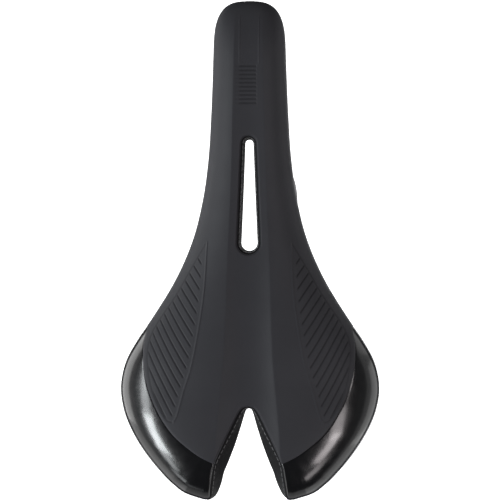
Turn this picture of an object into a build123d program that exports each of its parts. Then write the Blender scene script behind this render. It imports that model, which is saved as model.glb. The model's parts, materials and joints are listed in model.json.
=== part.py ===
from build123d import *
import math
import os
from functools import cache

# Racing bicycle saddle with a relief slot and a split tail, in millimetres.
# Frame: +X to the rider's right, +Y towards the nose, +Z up. The origin is midway between
# the two rails, on their axes, at the middle of the straight stretch that a seatpost clamps.
# "Distance back" is measured along -Y from the nose tip.

# ---- driving dimensions ----
LENGTH = 275.0
NOSE_Y = 142.0                # the nose tip's place ahead of the clamp centre
TAIL_Y = NOSE_Y - LENGTH

NOSE_ROUND_LENGTH = 27.5      # length of the nose's rounded end
NOSE_ROUND_POWER = 3.0        # superellipse power of that rounding
CUSHION_POWER_NOSE = 2.35     # squareness of the padded cross-section at the nose
CUSHION_POWER_TAIL = 2.1      # and across the wings
SKIRT_TUCK = 2.0              # how far the side walls lean in, 12 mm below the widest point
SKIRT_REACH = 6.0             # how far the untrimmed walls run below the finished edge

COVER_T = 1.2                 # thickness of the cover
SHELL_T = 2.6                 # thickness of the moulded shell
EDGE_FOAM_T = 1.0             # foam left between cover and shell at the rim
LIP_T = 1.0                   # thickness of the cover where it folds under the rim
COVER_START = 0.3             # the cover begins this far behind the nose cap's tip

LINING_T = 0.9                # fabric wall of the slot and of the tail notch
FLANGE_T = 1.0                # the linings' flanges, glued under the shell
FLANGE_REACH = 5.0            # how far those flanges run out from the opening
FLANGE_END = 20.0             # the flanges stop this far ahead of the tail

RAIL_R = 3.5
RAIL_GAUGE = 44.0             # rail centre to rail centre in the clamped stretch
CLAMP_LENGTH = 62.0           # straight stretch of each rail, on z = 0
RAIL_FRONT = (7.2, 111.0, 27.0)    # front end of the right rail, in the nose socket
RAIL_FRONT_BEND = (7.6, 80.0, 22.5)
RAIL_REAR = (39.0, -92.0, 29.0)    # its rear end, in the rear socket
RAIL_REAR_BEND = (36.0, -67.0, 25.5)
RAIL_BEND_R = 25.0
RAIL_SOCKET_BEND_R = 20.0

NOSE_BLOCK = (24.4, 92.0, 115.5)   # nose socket: width, rear and front
NOSE_SPLIT_Z = 26.0           # where the nose socket and its clamp plate meet
NOSE_PLATE_Z = 20.0           # underside of the clamp plate
NOSE_SCREWS = [(0, 96.0), (0, 111.5)]
NOSE_SCREW_TOP = 37.2
REAR_BLOCK = (25.0, 38.0, -98.0, -76.0)  # rear socket: width, centre's x, rear and front
REAR_BLOCK_Z = 21.0           # its underside
REAR_SCREWS = [(29.5, -85.0), (45.5, -87.0)]
REAR_SCREW_TOP = 39.0
SCREW_R = 1.5
SCREW_HEAD_R = 2.9
SCREW_HEAD_T = 1.8
BORE_LENGTH = 30.0            # longer than any socket
BLOCK_TOP = 60.0              # untrimmed top of the socket blocks
BLOCK_CORNER_R = 3.0

CAP_HALF_WIDTH = 5.2          # nose cap
CAP_LENGTH = 13.0
CAP_Z = (21.0, 28.0)

STITCH_LENGTH = 2.1
STITCH_PITCH = 3.1
STITCH_R = 0.28
STITCH_DROP = 2.2             # how far below the cover's surface the stitches sit on a lining
STITCH_GAP = 0.5              # clearance between a stitch and the lining under it

INSERT_DEPTH = 4.0            # thickness of the sit-bone inserts

# ---- curves along the length: (distance back from the nose tip, value) ----
HALF_WIDTH = [(0, 19.4), (27.5, 20.0), (66, 21.5), (88, 23.0), (110, 26.1), (132, 31.7),
              (154, 41.3), (176, 54.8), (187, 62.4), (199, 68.8), (213, 71.6), (226, 69.8),
              (237, 65.4), (248, 58.7), (259, 49.8), (267, 41.6), (272, 34.2), (275, 25.0)]
RIDGE_Z = [(0, 45.0), (30, 46.0), (70, 45.0), (110, 44.0), (150, 45.2), (190, 48.6),
           (225, 51.4), (255, 52.8), (275, 52.6)]
WIDEST_Z = [(0, 31.0), (60, 28.0), (110, 26.0), (150, 24.5), (190, 24.5), (220, 26.0),
            (250, 30.0), (275, 34.5)]
EDGE_Z = [(0, 23.0), (40, 20.5), (90, 18.5), (130, 16.5), (170, 15.5), (210, 17.0),
          (250, 21.5), (275, 27.0)]
FOAM_T = [(0, 6.0), (100, 7.0), (200, 9.0), (275, 8.0)]
CHANNEL_HALF_WIDTH = [(0, 8.5), (60, 9.0), (110, 13.0), (170, 16.0), (230, 19.0), (275, 20.0)]
CHANNEL_DEPTH = [(0, 0.0), (12, 0.6), (40, 1.1), (110, 1.9), (200, 2.3), (275, 2.3)]

# ---- openings through the seat, at the top surface ----
SLOT_FRONT = (79.0, 3.8)      # distance back and radius of the slot's narrow end
SLOT_REAR = (133.5, 6.1)      # and of its wide end
SLOT_Z = 45.0                 # height at which those radii hold
SLOT_DRAFT = 0.12             # the slot narrows by this much per mm of depth, each side

NOTCH_TOP_Z = 50.0
NOTCH_BOTTOM_Z = 36.0
NOTCH_TOP = [(0, 223.4), (4.0, 225.6), (9.8, 236.8), (14.0, 245.5), (18.0, 255.0),
             (20.0, 265.0), (21.0, 275.0), (21.4, 284.0)]
NOTCH_BOTTOM = [(0, 224.6), (2.5, 226.4), (5.6, 236.8), (8.8, 247.5), (12.5, 258.0),
                (18.6, 267.5), (21.3, 274.0), (23.0, 284.0)]

# outline of the right sit-bone insert: (distance from the centre plane, distance back)
INSERT_OUTLINE = [(25.5, 150.0), (28.5, 180.0), (34.0, 208.0), (41.5, 226.0), (48.0, 219.0),
                  (52.0, 203.0), (50.0, 186.0), (40.0, 167.0), (30.5, 151.5)]

# seam between the matte panel and the glossy wing: (distance from the centre plane, distance back)
WING_SEAM = [(66.0, 166.0), (57.2, 178.5), (58.4, 190.0), (58.0, 202.0), (55.0, 215.0),
             (49.2, 227.6), (42.0, 238.0), (34.0, 245.3), (25.0, 251.5), (12.0, 257.3)]


def curve(points):
    """A smooth function through (place, value) points, by cubic Hermite pieces."""
    xs = [p[0] for p in points]
    ys = [p[1] for p in points]
    steps = [(ys[i + 1] - ys[i]) / (xs[i + 1] - xs[i]) for i in range(len(xs) - 1)]
    slopes = [steps[0]] + [(a + b) / 2 for a, b in zip(steps, steps[1:])] + [steps[-1]]

    def value(x):
        x = min(max(x, xs[0]), xs[-1])
        i = max(k for k in range(len(xs) - 1) if xs[k] <= x)
        h = xs[i + 1] - xs[i]
        t = (x - xs[i]) / h
        return ((2 * t**3 - 3 * t**2 + 1) * ys[i] + (t**3 - 2 * t**2 + t) * h * slopes[i]
                + (3 * t**2 - 2 * t**3) * ys[i + 1] + (t**3 - t**2) * h * slopes[i + 1])

    return value


half_width = curve(HALF_WIDTH)
ridge_z = curve(RIDGE_Z)
widest_z = curve(WIDEST_Z)
edge_z = curve(EDGE_Z)
foam_t = curve(FOAM_T)
channel_half_width = curve(CHANNEL_HALF_WIDTH)
channel_depth = curve(CHANNEL_DEPTH)


class Layer:
    """One surface of the seat: how far it lies inside the cover's outer surface."""

    def __init__(self, side, top, ends, channel):
        self.side = side
        self.top = top
        self.ends = ends
        self.channel = channel

    def rounding(self, back):
        t = 1 - min(max((back - self.ends) / NOSE_ROUND_LENGTH, 0), 1)
        return max(1 - t**NOSE_ROUND_POWER, 0) ** (1 / NOSE_ROUND_POWER)

    def width(self, back):
        shift = self.side * max(back - 200, 0) / (LENGTH - 200)
        return self.rounding(back) * (half_width(back + shift) - self.side)

    def height(self, back):
        return self.rounding(back) * (ridge_z(back) - self.top(back) - widest_z(back))

    def power(self, back):
        share = min(back / 180, 1)
        return CUSHION_POWER_NOSE + (CUSHION_POWER_TAIL - CUSHION_POWER_NOSE) * share

    def groove(self, x, back):
        reach = channel_half_width(back)
        if not self.channel or abs(x) >= reach:
            return 0.0
        return channel_depth(back) * self.rounding(back) * (1 + math.cos(math.pi * x / reach)) / 2

    def z(self, x, back):
        p = self.power(back)
        s = min(abs(x) / self.width(back), 1)
        return widest_z(back) + self.height(back) * (1 - s**p) ** (1 / p) - self.groove(x, back)

    def wall_x(self, z, back):
        drop = (widest_z(back) - z) / 12
        return self.width(back) - SKIRT_TUCK * self.rounding(back) * drop**2

    def section(self, back):
        """The closed cross-section at one distance back, walls reaching below the finished edge."""
        y = NOSE_Y - back
        low = edge_z(back) - SKIRT_REACH
        skirt = [low, (low + widest_z(back)) / 2]
        right = [(self.wall_x(z, back), z) for z in skirt] + [(self.width(back), widest_z(back))]
        p = self.power(back)
        arch = []
        for i in range(1, 14):
            a = math.pi / 2 * i / 14
            x = self.width(back) * math.cos(a) ** (2 / p)
            arch.append((x, self.z(x, back)))
        half = right + arch
        points = half + [(0, self.z(0, back))] + [(-x, z) for x, z in reversed(half)]
        vectors = [Vector(x, y, z) for x, z in points]
        places = [i / (len(vectors) - 1) for i in range(len(vectors))]
        arch_edge = Edge.make_spline(vectors, parameters=places)
        return Wire([arch_edge, Edge.make_line(vectors[-1], vectors[0])])

    @cache
    def dome(self):
        """The solid under this surface, from nose to tail."""
        nose = [0.15, 0.9, 2.4, 5, 9, 15, 22, 30]
        body = [45, 66, 88, 110, 132, 154, 176, 195, 213, 230, 245, 257, 266, 271]
        stations = [self.ends + b for b in nose] + body + [LENGTH - self.side]
        return Solid.make_loft([self.section(b) for b in stations])


OUTER = Layer(0, lambda b: 0, COVER_START, True)
FOAM_OUTER = Layer(COVER_T, lambda b: COVER_T, OUTER.ends + COVER_T, True)
SHELL_OUTER = Layer(COVER_T + EDGE_FOAM_T, lambda b: COVER_T + foam_t(b),
                    FOAM_OUTER.ends + EDGE_FOAM_T, False)
SHELL_INNER = Layer(SHELL_OUTER.side + SHELL_T, lambda b: SHELL_OUTER.top(b) + SHELL_T,
                    SHELL_OUTER.ends + SHELL_T, False)
FLANGE_INNER = Layer(SHELL_INNER.side + FLANGE_T, lambda b: SHELL_INNER.top(b) + FLANGE_T,
                     SHELL_INNER.ends + FLANGE_T, False)


def above_edge(lift):
    """All the space above the seat's lower edge, raised by lift."""
    profile = [(NOSE_Y + 20, edge_z(0) + lift)]
    profile += [(NOSE_Y - b, z + lift) for b, z in EDGE_Z]
    profile += [(TAIL_Y - 20, edge_z(LENGTH) + lift + 3)]
    low = Edge.make_spline([Vector(0, y, z) for y, z in profile])
    top = 90
    a, b = low @ 0, low @ 1
    sides = Polyline(b, (0, b.Y, top), (0, a.Y, top), a)
    side_face = Face(Wire([low] + list(sides.edges())))
    return extrude(side_face, amount=100, dir=(1, 0, 0), both=True)


def largest(shape):
    """A shape's main solid, without the slivers that a grazing cut leaves."""
    return max(shape.solids(), key=lambda solid: solid.volume)


def plan(points, z):
    """Points given as (x, distance back) at one height."""
    return [Vector(x, NOSE_Y - back, z) for x, back in points]


def slot_cutter(grow):
    """The relief slot as a tapered plug; grow widens it all round."""
    rings = []
    for z in (20.0, 60.0):
        wider = grow + (z - SLOT_Z) * SLOT_DRAFT
        (b1, r1), (b2, r2) = SLOT_FRONT, SLOT_REAR
        r1, r2 = r1 + wider, r2 + wider
        lean = math.asin((r2 - r1) / (b2 - b1))
        c, s = math.cos(lean), math.sin(lean)
        front = plan([(r1 * c, b1 - r1 * s), (0, b1 - r1), (-r1 * c, b1 - r1 * s)], z)
        rear = plan([(-r2 * c, b2 - r2 * s), (0, b2 + r2), (r2 * c, b2 - r2 * s)], z)
        rings.append(Wire([Edge.make_three_point_arc(*front), Edge.make_line(front[2], rear[0]),
                           Edge.make_three_point_arc(*rear), Edge.make_line(rear[2], front[0])]))
    return Solid.make_loft(rings, True)


def notch_cutter(grow):
    """The V-shaped notch between the tail lobes as a tapered plug; grow widens it all round."""
    rings = []
    for z in (20.0, 58.0):
        share = (z - NOTCH_BOTTOM_Z) / (NOTCH_TOP_Z - NOTCH_BOTTOM_Z)
        half = []
        for (xt, bt), (xb, bb) in zip(NOTCH_TOP, NOTCH_BOTTOM):
            half.append((xb + (xt - xb) * share, bb + (bt - bb) * share))
        half = [(x + grow * (x > 0), b - grow * (1 - min(x / 8, 1))) for x, b in half]
        points = plan([(-x, b) for x, b in reversed(half[1:])] + half, z)
        rings.append(Wire([Edge.make_spline(points), Edge.make_line(points[-1], points[0])]))
    return Solid.make_loft(rings, True)


def wing_region():
    """Everything outboard of and behind the right wing's seam, as a tall block."""
    seam = Edge.make_spline(plan(WING_SEAM, 0))
    corners = plan([(4, 300), (100, 300), (100, 166)], 0)
    edges = [seam, Edge.make_line(seam @ 1, corners[0]), Edge.make_line(corners[0], corners[1]),
             Edge.make_line(corners[1], corners[2]), Edge.make_line(corners[2], seam @ 0)]
    return extrude(Face(Wire(edges)), amount=90, dir=(0, 0, 1))


@cache
def openings(grow):
    """Both openings through the seat as one cutter."""
    return slot_cutter(grow) + notch_cutter(grow)


@cache
def padded_body():
    """Everything inside the cover, with the shell's hollow filled in."""
    return FOAM_OUTER.dome() & above_edge(LIP_T)


def cover_pieces():
    """The cover cut along its two seams: the matte centre panel and the glossy wings.

    It lies over the foam and folds under the rim as far as the shell's inner face.
    """
    cover = (OUTER.dome() & above_edge(0)) - padded_body() - FLANGE_INNER.dome()
    right = wing_region()
    left = mirror(right, about=Plane.YZ)
    cutter = openings(0)
    panels = cover - right - left - cutter, (cover & left) - cutter, (cover & right) - cutter
    return [largest(panel) for panel in panels]


@cache
def sitbone_insert():
    """The right sit-bone insert, which lies under the cover in a pocket of the foam."""
    outline = Face(Wire(Edge.make_spline(plan(INSERT_OUTLINE, 0), periodic=True)))
    column = extrude(outline, amount=90, dir=(0, 0, 1))
    deep = COVER_T + INSERT_DEPTH
    floor = Layer(deep, lambda b: deep, deep, True)
    insert = (column & FOAM_OUTER.dome()) - floor.dome()
    return largest(insert)


def foam_padding():
    """The moulded foam between cover and shell, with the inserts' pockets."""
    insert = sitbone_insert()
    foam = padded_body() - SHELL_OUTER.dome() - openings(LINING_T)
    return foam - insert - mirror(insert, about=Plane.YZ)


def base_shell():
    """The moulded shell, with screw holes at the sockets."""
    shell = (SHELL_OUTER.dome() & above_edge(LIP_T)) - SHELL_INNER.dome() - openings(LINING_T)
    for screw in nose_screws() + rear_screws():
        shell = shell - screw
    return largest(shell)


def lining(cutter):
    """The fabric wall of one opening, with its flange glued under the shell."""
    above = above_edge(LIP_T)
    wall = ((cutter(LINING_T) - cutter(0)) & FOAM_OUTER.dome() & above) - FLANGE_INNER.dome()
    under_shell = SHELL_INNER.dome() - FLANGE_INNER.dome()
    flange = (cutter(FLANGE_REACH) - cutter(LINING_T)) & flange_stretch() & under_shell
    return largest(wall + flange)


def flange_stretch():
    """The stretch of the seat where the linings have flanges; the tail lobes have none."""
    ahead = TAIL_Y + FLANGE_END
    return Pos(0, (ahead + NOSE_Y) / 2, 40) * Box(LENGTH, NOSE_Y - ahead, 60)


def stitch(here, ahead):
    """One stitch: a short straight thread from one point towards the next."""
    along = (ahead - here).normalized()
    return Solid.make_cylinder(STITCH_R, STITCH_LENGTH, Plane(origin=here, z_dir=along))


def stitches(path):
    """Stitches at an even pitch along a list of closely spaced points."""
    row = []
    walked = 0.0
    due = STITCH_PITCH / 2
    for here, ahead in zip(path, path[1:]):
        walked += (ahead - here).length
        if walked >= due:
            row.append(stitch(here, ahead))
            due += STITCH_PITCH
    return row


def slot_stitch_path():
    """The stitch line round the slot, just below its top edge."""
    front, rear = SLOT_FRONT[0] - SLOT_FRONT[1], SLOT_REAR[0] + SLOT_REAR[1]
    path = []
    for i in range(721):
        turn = math.radians(i / 2)
        back = (front + rear) / 2 - (rear - front) / 2 * math.cos(turn) * 0.985
        z = OUTER.z(0, back) - STITCH_DROP
        wider = (z - SLOT_Z) * SLOT_DRAFT - STITCH_GAP - STITCH_R
        x = slot_half_width(back, wider)
        path.append(Vector(x if i < 360 else -x, NOSE_Y - back, z))
    return path


def slot_half_width(back, wider):
    """Half the slot's width at one distance back, its radii made larger by wider."""
    (b1, r1), (b2, r2) = SLOT_FRONT, SLOT_REAR
    r1, r2 = r1 + wider, r2 + wider
    if back < b1:
        return math.sqrt(max(r1**2 - (back - b1) ** 2, 0))
    if back > b2:
        return math.sqrt(max(r2**2 - (back - b2) ** 2, 0))
    return r1 + (r2 - r1) * (back - b1) / (b2 - b1)


def notch_stitch_path():
    """The stitch line round the notch, from the left tail lobe to the right one."""
    top_x, top_back, low_x, low_back = [
        curve([(i, p[k]) for i, p in enumerate(line)])
        for line in (NOTCH_TOP, NOTCH_BOTTOM) for k in (0, 1)
    ]
    clear = STITCH_GAP + STITCH_R
    path = []
    for i in range(-560, 561):
        t = abs(i) / 100
        z = OUTER.z(top_x(t), top_back(t)) - STITCH_DROP
        share = (z - NOTCH_BOTTOM_Z) / (NOTCH_TOP_Z - NOTCH_BOTTOM_Z)
        x = low_x(t) + (top_x(t) - low_x(t)) * share - clear * min(t, 1)
        back = low_back(t) + (top_back(t) - low_back(t)) * share + clear * max(1 - t / 2, 0)
        path.append(Vector(math.copysign(max(x, 0), i), NOSE_Y - back, z))
    return path


def clamp_corner(sign, bend):
    """The corner whose rounding starts exactly where the clamped stretch ends."""
    x, half = RAIL_GAUGE / 2, CLAMP_LENGTH / 2
    corner = Vector(x, sign * half, 0)
    for _ in range(12):
        run = bend - corner
        turn = math.acos(abs(run.Y) / run.length)
        corner = Vector(x, sign * (half + RAIL_BEND_R * math.tan(turn / 2)), 0)
    return corner


def rail():
    """The right rail: straight where it is clamped, bent up into both sockets."""
    rear, rear_bend = Vector(*RAIL_REAR), Vector(*RAIL_REAR_BEND)
    front, front_bend = Vector(*RAIL_FRONT), Vector(*RAIL_FRONT_BEND)
    corners = [clamp_corner(-1, rear_bend), clamp_corner(1, front_bend)]
    radii = [RAIL_SOCKET_BEND_R, RAIL_BEND_R, RAIL_BEND_R, RAIL_SOCKET_BEND_R]
    path = FilletPolyline(rear, rear_bend, corners[0], corners[1], front_bend, front, radius=radii)
    section = Plane(origin=path @ 0, z_dir=path % 0) * Circle(RAIL_R)
    return sweep(section, path=path)


def screw(x, y, low, top, recess):
    """A cap screw driven upwards; recess adds the key's socket in its head."""
    base = Plane(origin=(x, y, low))
    solid = Solid.make_cylinder(SCREW_R, top - low, base)
    solid = solid + Solid.make_cylinder(SCREW_HEAD_R, SCREW_HEAD_T, base)
    if recess:
        solid = solid - extrude(base * RegularPolygon(SCREW_R, 6), amount=SCREW_HEAD_T * 0.7)
    return solid


def nose_screws(recess=False):
    return [screw(x, y, NOSE_PLATE_Z, NOSE_SCREW_TOP, recess) for x, y in NOSE_SCREWS]


def rear_screws(recess=False):
    spots = [(side * x, y) for side in (-1, 1) for x, y in REAR_SCREWS]
    return [screw(x, y, REAR_BLOCK_Z, REAR_SCREW_TOP, recess) for x, y in spots]


def block(x, width, rear, front, low, top):
    """A rounded block standing on z = low."""
    base = Plane(origin=(x, (rear + front) / 2, low))
    plan_face = base * RectangleRounded(width, front - rear, BLOCK_CORNER_R)
    return extrude(plan_face, amount=top - low, dir=(0, 0, 1))


def both_sides(solid):
    return [solid, mirror(solid, about=Plane.YZ)]


def bore(end, bend):
    """The straight hole that takes one end of the right rail."""
    tip = Vector(*end)
    return Solid.make_cylinder(RAIL_R, BORE_LENGTH, Plane(origin=tip, z_dir=Vector(*bend) - tip))


def nose_socket_pieces():
    """The socket under the nose and the plate that clamps the rails into it."""
    width, rear, front = NOSE_BLOCK
    upper = block(0, width, rear, front, NOSE_SPLIT_Z, BLOCK_TOP)
    plate = block(0, width, rear, front, NOSE_PLATE_Z, NOSE_SPLIT_Z)
    for solid in nose_screws() + both_sides(bore(RAIL_FRONT, RAIL_FRONT_BEND)):
        upper = upper - solid
        plate = plate - solid
    return upper & SHELL_INNER.dome(), plate


def rear_socket():
    """The right rear socket, closed round the rail's end."""
    width, x, rear, front = REAR_BLOCK
    socket = block(x, width, rear, front, REAR_BLOCK_Z, BLOCK_TOP)
    for solid in rear_screws()[2:] + [bore(RAIL_REAR, RAIL_REAR_BEND)]:
        socket = socket - solid
    return socket & SHELL_INNER.dome()


def nose_cap():
    """The small cap over the folded cover at the nose tip."""
    low, top = CAP_Z
    w = CAP_HALF_WIDTH
    outline = [(w, CAP_LENGTH), (w, 3.0), (w * 0.8, 0.8), (0, 0), (-w * 0.8, 0.8), (-w, 3.0),
               (-w, CAP_LENGTH)]
    points = plan(outline, low)
    face = Face(Wire([Edge.make_spline(points), Edge.make_line(points[-1], points[0])]))
    return extrude(face, amount=top - low, dir=(0, 0, 1)) - (OUTER.dome() & above_edge(0))


def save(name, shape):
    """Write one node's solids."""
    solids = shape if isinstance(shape, list) else [shape]
    solids = [one for item in solids for one in item.solids()]
    export_step(solids[0] if len(solids) == 1 else Compound(children=solids), f"parts/{name}.step")


def main():
    os.makedirs("parts", exist_ok=True)
    centre, wing_left, wing_right = cover_pieces()
    save("cover_center_panel", centre)
    save("cover_wing_left", wing_left)
    save("cover_wing_right", wing_right)
    save("foam_padding", foam_padding())
    save("base_shell", base_shell())
    save("slot_lining", lining(slot_cutter))
    save("notch_lining", lining(notch_cutter))
    save("slot_seam_stitching", stitches(slot_stitch_path()))
    save("notch_seam_stitching", stitches(notch_stitch_path()))
    socket, plate = nose_socket_pieces()
    save("nose_rail_socket", socket)
    save("nose_rail_clamp", plate)
    save("nose_clamp_screws", nose_screws(True))
    save("rear_socket_screws", rear_screws(True))
    save("nose_cap", nose_cap())
    sided = {"sitbone_insert": sitbone_insert(), "rail": rail(), "rear_rail_socket": rear_socket()}
    for name, right in sided.items():
        save(f"{name}_right", right)
        save(f"{name}_left", mirror(right, about=Plane.YZ))


main()
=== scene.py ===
import json
import math
import random

import bpy
import numpy as np
from mathutils import Matrix, Vector


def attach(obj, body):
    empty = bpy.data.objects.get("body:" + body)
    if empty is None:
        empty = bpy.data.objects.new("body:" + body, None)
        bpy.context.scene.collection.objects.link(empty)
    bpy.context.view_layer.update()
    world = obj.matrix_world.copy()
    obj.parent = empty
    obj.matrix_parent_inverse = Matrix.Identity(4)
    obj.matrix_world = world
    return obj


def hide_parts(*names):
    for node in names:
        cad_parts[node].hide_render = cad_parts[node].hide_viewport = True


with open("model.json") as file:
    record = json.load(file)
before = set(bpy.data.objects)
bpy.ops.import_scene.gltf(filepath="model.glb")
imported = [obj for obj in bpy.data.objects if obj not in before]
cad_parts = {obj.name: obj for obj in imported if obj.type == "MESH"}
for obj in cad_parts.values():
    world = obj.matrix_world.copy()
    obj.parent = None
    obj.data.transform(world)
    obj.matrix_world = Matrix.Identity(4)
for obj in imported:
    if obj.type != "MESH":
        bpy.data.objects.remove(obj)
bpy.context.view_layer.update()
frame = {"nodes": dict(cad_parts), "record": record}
MM = 0.001

# ---------------------------------------------------------------------------
# The seat's shape, in millimetres. "back" is the distance behind the nose tip,
# x is to the rider's right. The driving curves are the CAD's, but for two: the notch's lower line
# is a little narrower here, and the top of the nose and the lobes' tops round off more.
# ---------------------------------------------------------------------------
LENGTH = 275.0
NOSE_Y = 142.0
COVER_START = 0.3
NOSE_ROUND_LENGTH = 27.5
NOSE_ROUND_POWER = 3.0
TOP_ROUND_LENGTH = 34.0
TOP_ROUND_POWER = 2.2
CUSHION_POWER_NOSE = 2.35
CUSHION_POWER_TAIL = 2.1
CUSHION_CHANGE = 180         # the section's power changes from the nose's to the tail's over this
LOBE_POWER = 0.45            # how much squarer the section gets on the tail's lobes
LOBE_SQUARING = (213, 34)    # where that begins, and over what length
LOBE_START = 200             # behind this the height is counted squarely from the outline
SKIRT_TUCK = 2.0
SKIRT_DROP = 12              # the skirt has tucked in by SKIRT_TUCK this far below the widest line
RIM_WIDTH = 5.8              # cover's edge to the inner face of its folded hem
HEM_HEIGHT = 6.0
SLOT_FRONT = (79.0, 3.8)
SLOT_REAR = (133.5, 6.1)
SLOT_Z = 45.0
SLOT_DRAFT = 0.12
NOTCH_TOP_Z = 50.0
NOTCH_BOTTOM_Z = 36.0
NOTCH_TOP = [(0, 223.4), (4.0, 225.6), (9.8, 236.8), (14.0, 245.5), (18.0, 255.0),
             (20.0, 265.0), (21.0, 275.0), (21.4, 284.0)]
NOTCH_BOTTOM = [(0, 224.6), (1.8, 226.4), (4.3, 236.8), (7.0, 247.5), (10.6, 258.0),
                (17.6, 268.5), (20.1, 276.0), (21.2, 284.0)]
CREASE = 0.35                # from an opening's wall out to the cover's rolled edge
TAIL_ROUND_LENGTH = 9.0      # the lobes' tops round off over this length
TAIL_ROUND_POWER = 2.6
LOBE_TIP_X = 23.0
LOBE_CLOSING_POWER = 1.5     # how late the lobes' sides close towards their tip
CHANNEL_POWER = 2.2
CHANNEL_SHOULDER = 0.012     # softens the corner where the channel's side ends
CHANNEL_LIP = 0.055          # share of the depth taken off at the channel's edge
CHANNEL_END = 1.6            # the channel's lip ends here, in shares of its reach


def curve(points):
    """A smooth function through (place, value) points, which takes numpy arrays."""
    xs, ys = (np.array(v, float) for v in zip(*points))
    steps = np.diff(ys) / np.diff(xs)
    slopes = np.concatenate([steps[:1], (steps[1:] + steps[:-1]) / 2, steps[-1:]])

    def value(x):
        x = np.clip(x, xs[0], xs[-1])
        i = np.clip(np.searchsorted(xs, x, "right") - 1, 0, len(xs) - 2)
        h = xs[i + 1] - xs[i]
        t = (x - xs[i]) / h
        return ((2 * t**3 - 3 * t**2 + 1) * ys[i] + (t**3 - 2 * t**2 + t) * h * slopes[i]
                + (3 * t**2 - 2 * t**3) * ys[i + 1] + (t**3 - t**2) * h * slopes[i + 1])

    return value


half_width = curve([(0, 19.4), (27.5, 20.0), (66, 21.5), (88, 23.0), (110, 26.1), (132, 31.7),
                    (154, 41.3), (176, 54.8), (187, 62.4), (199, 68.8), (213, 71.6), (226, 69.8),
                    (237, 65.4), (248, 58.7), (259, 49.8), (267, 41.6), (272, 34.2), (275, 25.0)])
ridge_z = curve([(0, 45.0), (30, 46.0), (70, 45.0), (110, 44.0), (150, 45.2), (190, 48.6),
                 (225, 51.4), (255, 52.8), (275, 52.6)])
widest_z = curve([(0, 31.0), (60, 28.0), (110, 26.0), (150, 24.5), (190, 24.5), (220, 26.0),
                  (250, 30.0), (275, 34.5)])
edge_z = curve([(0, 23.0), (40, 20.5), (90, 18.5), (130, 16.5), (170, 15.5), (210, 17.0),
                (250, 21.5), (275, 27.0)])
# how far in from the outline the lobes' padding reaches its full height
tail_reach = curve([(200, 76.0), (213, 70.5), (226, 58.0), (240, 44.0), (262, 30.0), (275, 24.0)])
# the shallow channel along the middle
channel_reach = curve([(0, 7.4), (60, 8.8), (100, 9.8), (140, 11.5), (200, 13.8), (235, 17.0),
                       (275, 19.0)])
channel_depth = curve([(0, 0.0), (12, 0.7), (40, 1.35), (75, 1.7), (140, 2.1), (200, 2.8),
                       (240, 3.2), (275, 2.9)])


def smooth(t):
    """0 to 1 as t goes from 0 to 1, with no corner at either end."""
    t = np.clip(t, 0, 1)
    return t * t * (3 - 2 * t)


def nose_rounding(back):
    t = 1 - np.clip((back - COVER_START) / NOSE_ROUND_LENGTH, 0, 1)
    return np.maximum(1 - t**NOSE_ROUND_POWER, 0) ** (1 / NOSE_ROUND_POWER)


def top_rounding(back):
    """The nose's top rounds off over a longer stretch than its outline."""
    t = 1 - np.clip((back - COVER_START) / TOP_ROUND_LENGTH, 0, 1)
    return np.maximum(1 - t**TOP_ROUND_POWER, 0) ** (1 / TOP_ROUND_POWER)


def tail_rounding(back):
    t = np.clip((back - LENGTH + TAIL_ROUND_LENGTH) / TAIL_ROUND_LENGTH, 0, 1)
    return np.maximum(1 - t**TAIL_ROUND_POWER, 0) ** (1 / TAIL_ROUND_POWER)


def seat_width(back):
    return nose_rounding(back) * half_width(back)


def channel(x, back):
    """Depth of the middle channel: a soft floor whose sides end at a crisp shoulder."""
    t = np.abs(x) / channel_reach(back)
    side = 1 - np.clip(t, 0, 1) ** CHANNEL_POWER
    lip = CHANNEL_LIP * np.clip(t, 0, CHANNEL_END) / CHANNEL_END
    rounded = 0.5 * (side + np.sqrt(side**2 + CHANNEL_SHOULDER)) - lip
    return channel_depth(back) * nose_rounding(back) * np.clip(rounded, 0, None) * (t < CHANNEL_END)


def line_distance(x, back, line):
    """Distance from each point to a polyline of (xs, backs)."""
    lx, lb = line
    best = np.full(x.shape, 1e9)
    for i in range(len(lx) - 1):
        ax, ab, bx, bb = lx[i], lb[i], lx[i + 1], lb[i + 1]
        ux, ub = bx - ax, bb - ab
        t = np.clip(((x - ax) * ux + (back - ab) * ub) / (ux * ux + ub * ub + 1e-12), 0, 1)
        best = np.minimum(best, (x - ax - t * ux) ** 2 + (back - ab - t * ub) ** 2)
    return np.sqrt(best)


def tail_outline():
    """The outline's last 85 mm, its points closer together towards the tip."""
    back = LENGTH - 85 * (1 - np.linspace(0, 1, 44) ** 0.6)
    return np.append(half_width(back), LOBE_TIP_X - 2), np.append(back, LENGTH)


TAIL_OUTLINE = tail_outline()


def edge_share(x, back):
    """0 at the outline, 1 where the padding is at its full height. It is counted sideways along
    most of the seat, and squarely from the outline round the tail's lobes."""
    x, back = np.broadcast_arrays(np.abs(x).astype(float), np.asarray(back, float))
    shape, x, back = x.shape, x.ravel(), back.ravel()
    reach = np.maximum(seat_width(back), 1e-6)
    depth = reach - x
    rear = back > LOBE_START
    square = line_distance(x[rear], back[rear], TAIL_OUTLINE)
    depth[rear] += (square - depth[rear]) * smooth((back[rear] - 206) / 20)
    reach[rear] += (tail_reach(back[rear]) - reach[rear]) * smooth((back[rear] - LOBE_START) / 28)
    return (depth / reach).reshape(shape)


def top_z(x, back):
    """The cover's outer surface, without its embossing."""
    along = np.minimum(back / CUSHION_CHANGE, 1)
    p = CUSHION_POWER_NOSE + (CUSHION_POWER_TAIL - CUSHION_POWER_NOSE) * along
    p = p + LOBE_POWER * smooth((back - LOBE_SQUARING[0]) / LOBE_SQUARING[1])
    height = top_rounding(back) * (ridge_z(back) - widest_z(back))
    arch = (1 - np.clip(1 - edge_share(x, back), 0, 1) ** p) ** (1 / p)
    return widest_z(back) + height * arch - channel(x, back) * arch


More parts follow.
